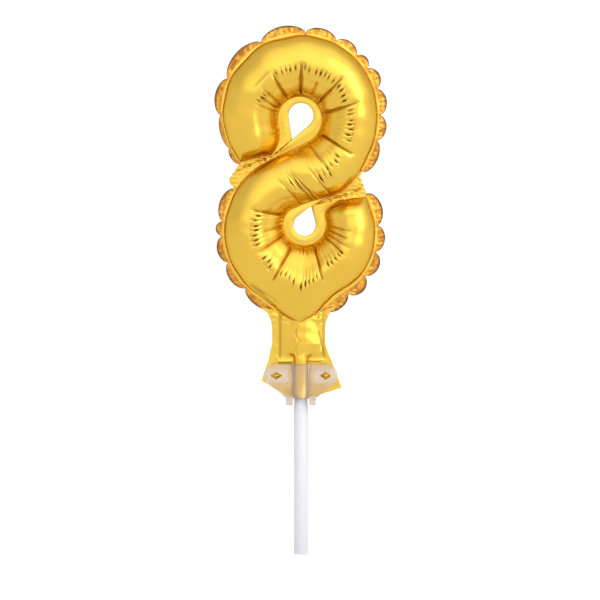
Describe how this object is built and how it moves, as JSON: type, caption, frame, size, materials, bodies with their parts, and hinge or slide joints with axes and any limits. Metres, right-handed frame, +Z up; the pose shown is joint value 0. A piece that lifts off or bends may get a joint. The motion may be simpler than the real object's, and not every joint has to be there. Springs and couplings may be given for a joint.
{
  "type": "foil number balloon on a stick",
  "caption": "Small air-filled gold foil balloon shaped as the figure eight, with a scalloped sealed rim, held by a folding clip on a straw stick.",
  "frame": {"origin": "centre of the straw stick's lower end", "axes": "+Z up the stick to the balloon, +X to the viewer's right when the figure reads the right way round, -Y out of the balloon's front"},
  "size_m": [0.0714, 0.023, 0.2201],
  "materials": {
    "gold_film": "metallised plastic film, glossy gold",
    "clip_plastic": "moulded natural polypropylene, translucent",
    "straw_plastic": "extruded polypropylene, translucent white",
    "valve_film": "clear polyethylene film"
  },
  "bodies": {
    "stick": {"straw_stick": "straw_plastic"},
    "clip": {"clip_rear_leaf": "clip_plastic", "hinge_strap_left": "clip_plastic", "hinge_strap_right": "clip_plastic", "neck_front_foil": "gold_film", "neck_back_foil": "gold_film", "valve_front_film": "valve_film", "valve_back_film": "valve_film"},
    "front_leaf": {"clip_front_leaf": "clip_plastic"},
    "balloon": {"front_foil_panel": "gold_film", "back_foil_panel": "gold_film", "sealed_rim": "gold_film"}
  },
  "joints": [
    {"name": "clip_slide", "type": "slide", "parent": "stick", "child": "clip", "axis": [0, 0, 1], "range_m": [0, 0.016]},
    {"name": "front_leaf_hinge", "type": "hinge", "parent": "clip", "child": "front_leaf", "pos_m": [0, -0.0043, 0.064], "axis": [1, 0, 0], "range_deg": [0, 150]},
    {"name": "neck_flex", "type": "hinge", "parent": "clip", "child": "balloon", "pos_m": [0, 0, 0.086], "axis": [1, 0, 0], "range_deg": [-25, 25], "stiffness_Nm_per_rad": 0.006, "deforming": ["neck_front_foil", "neck_back_foil"]}
  ]
}
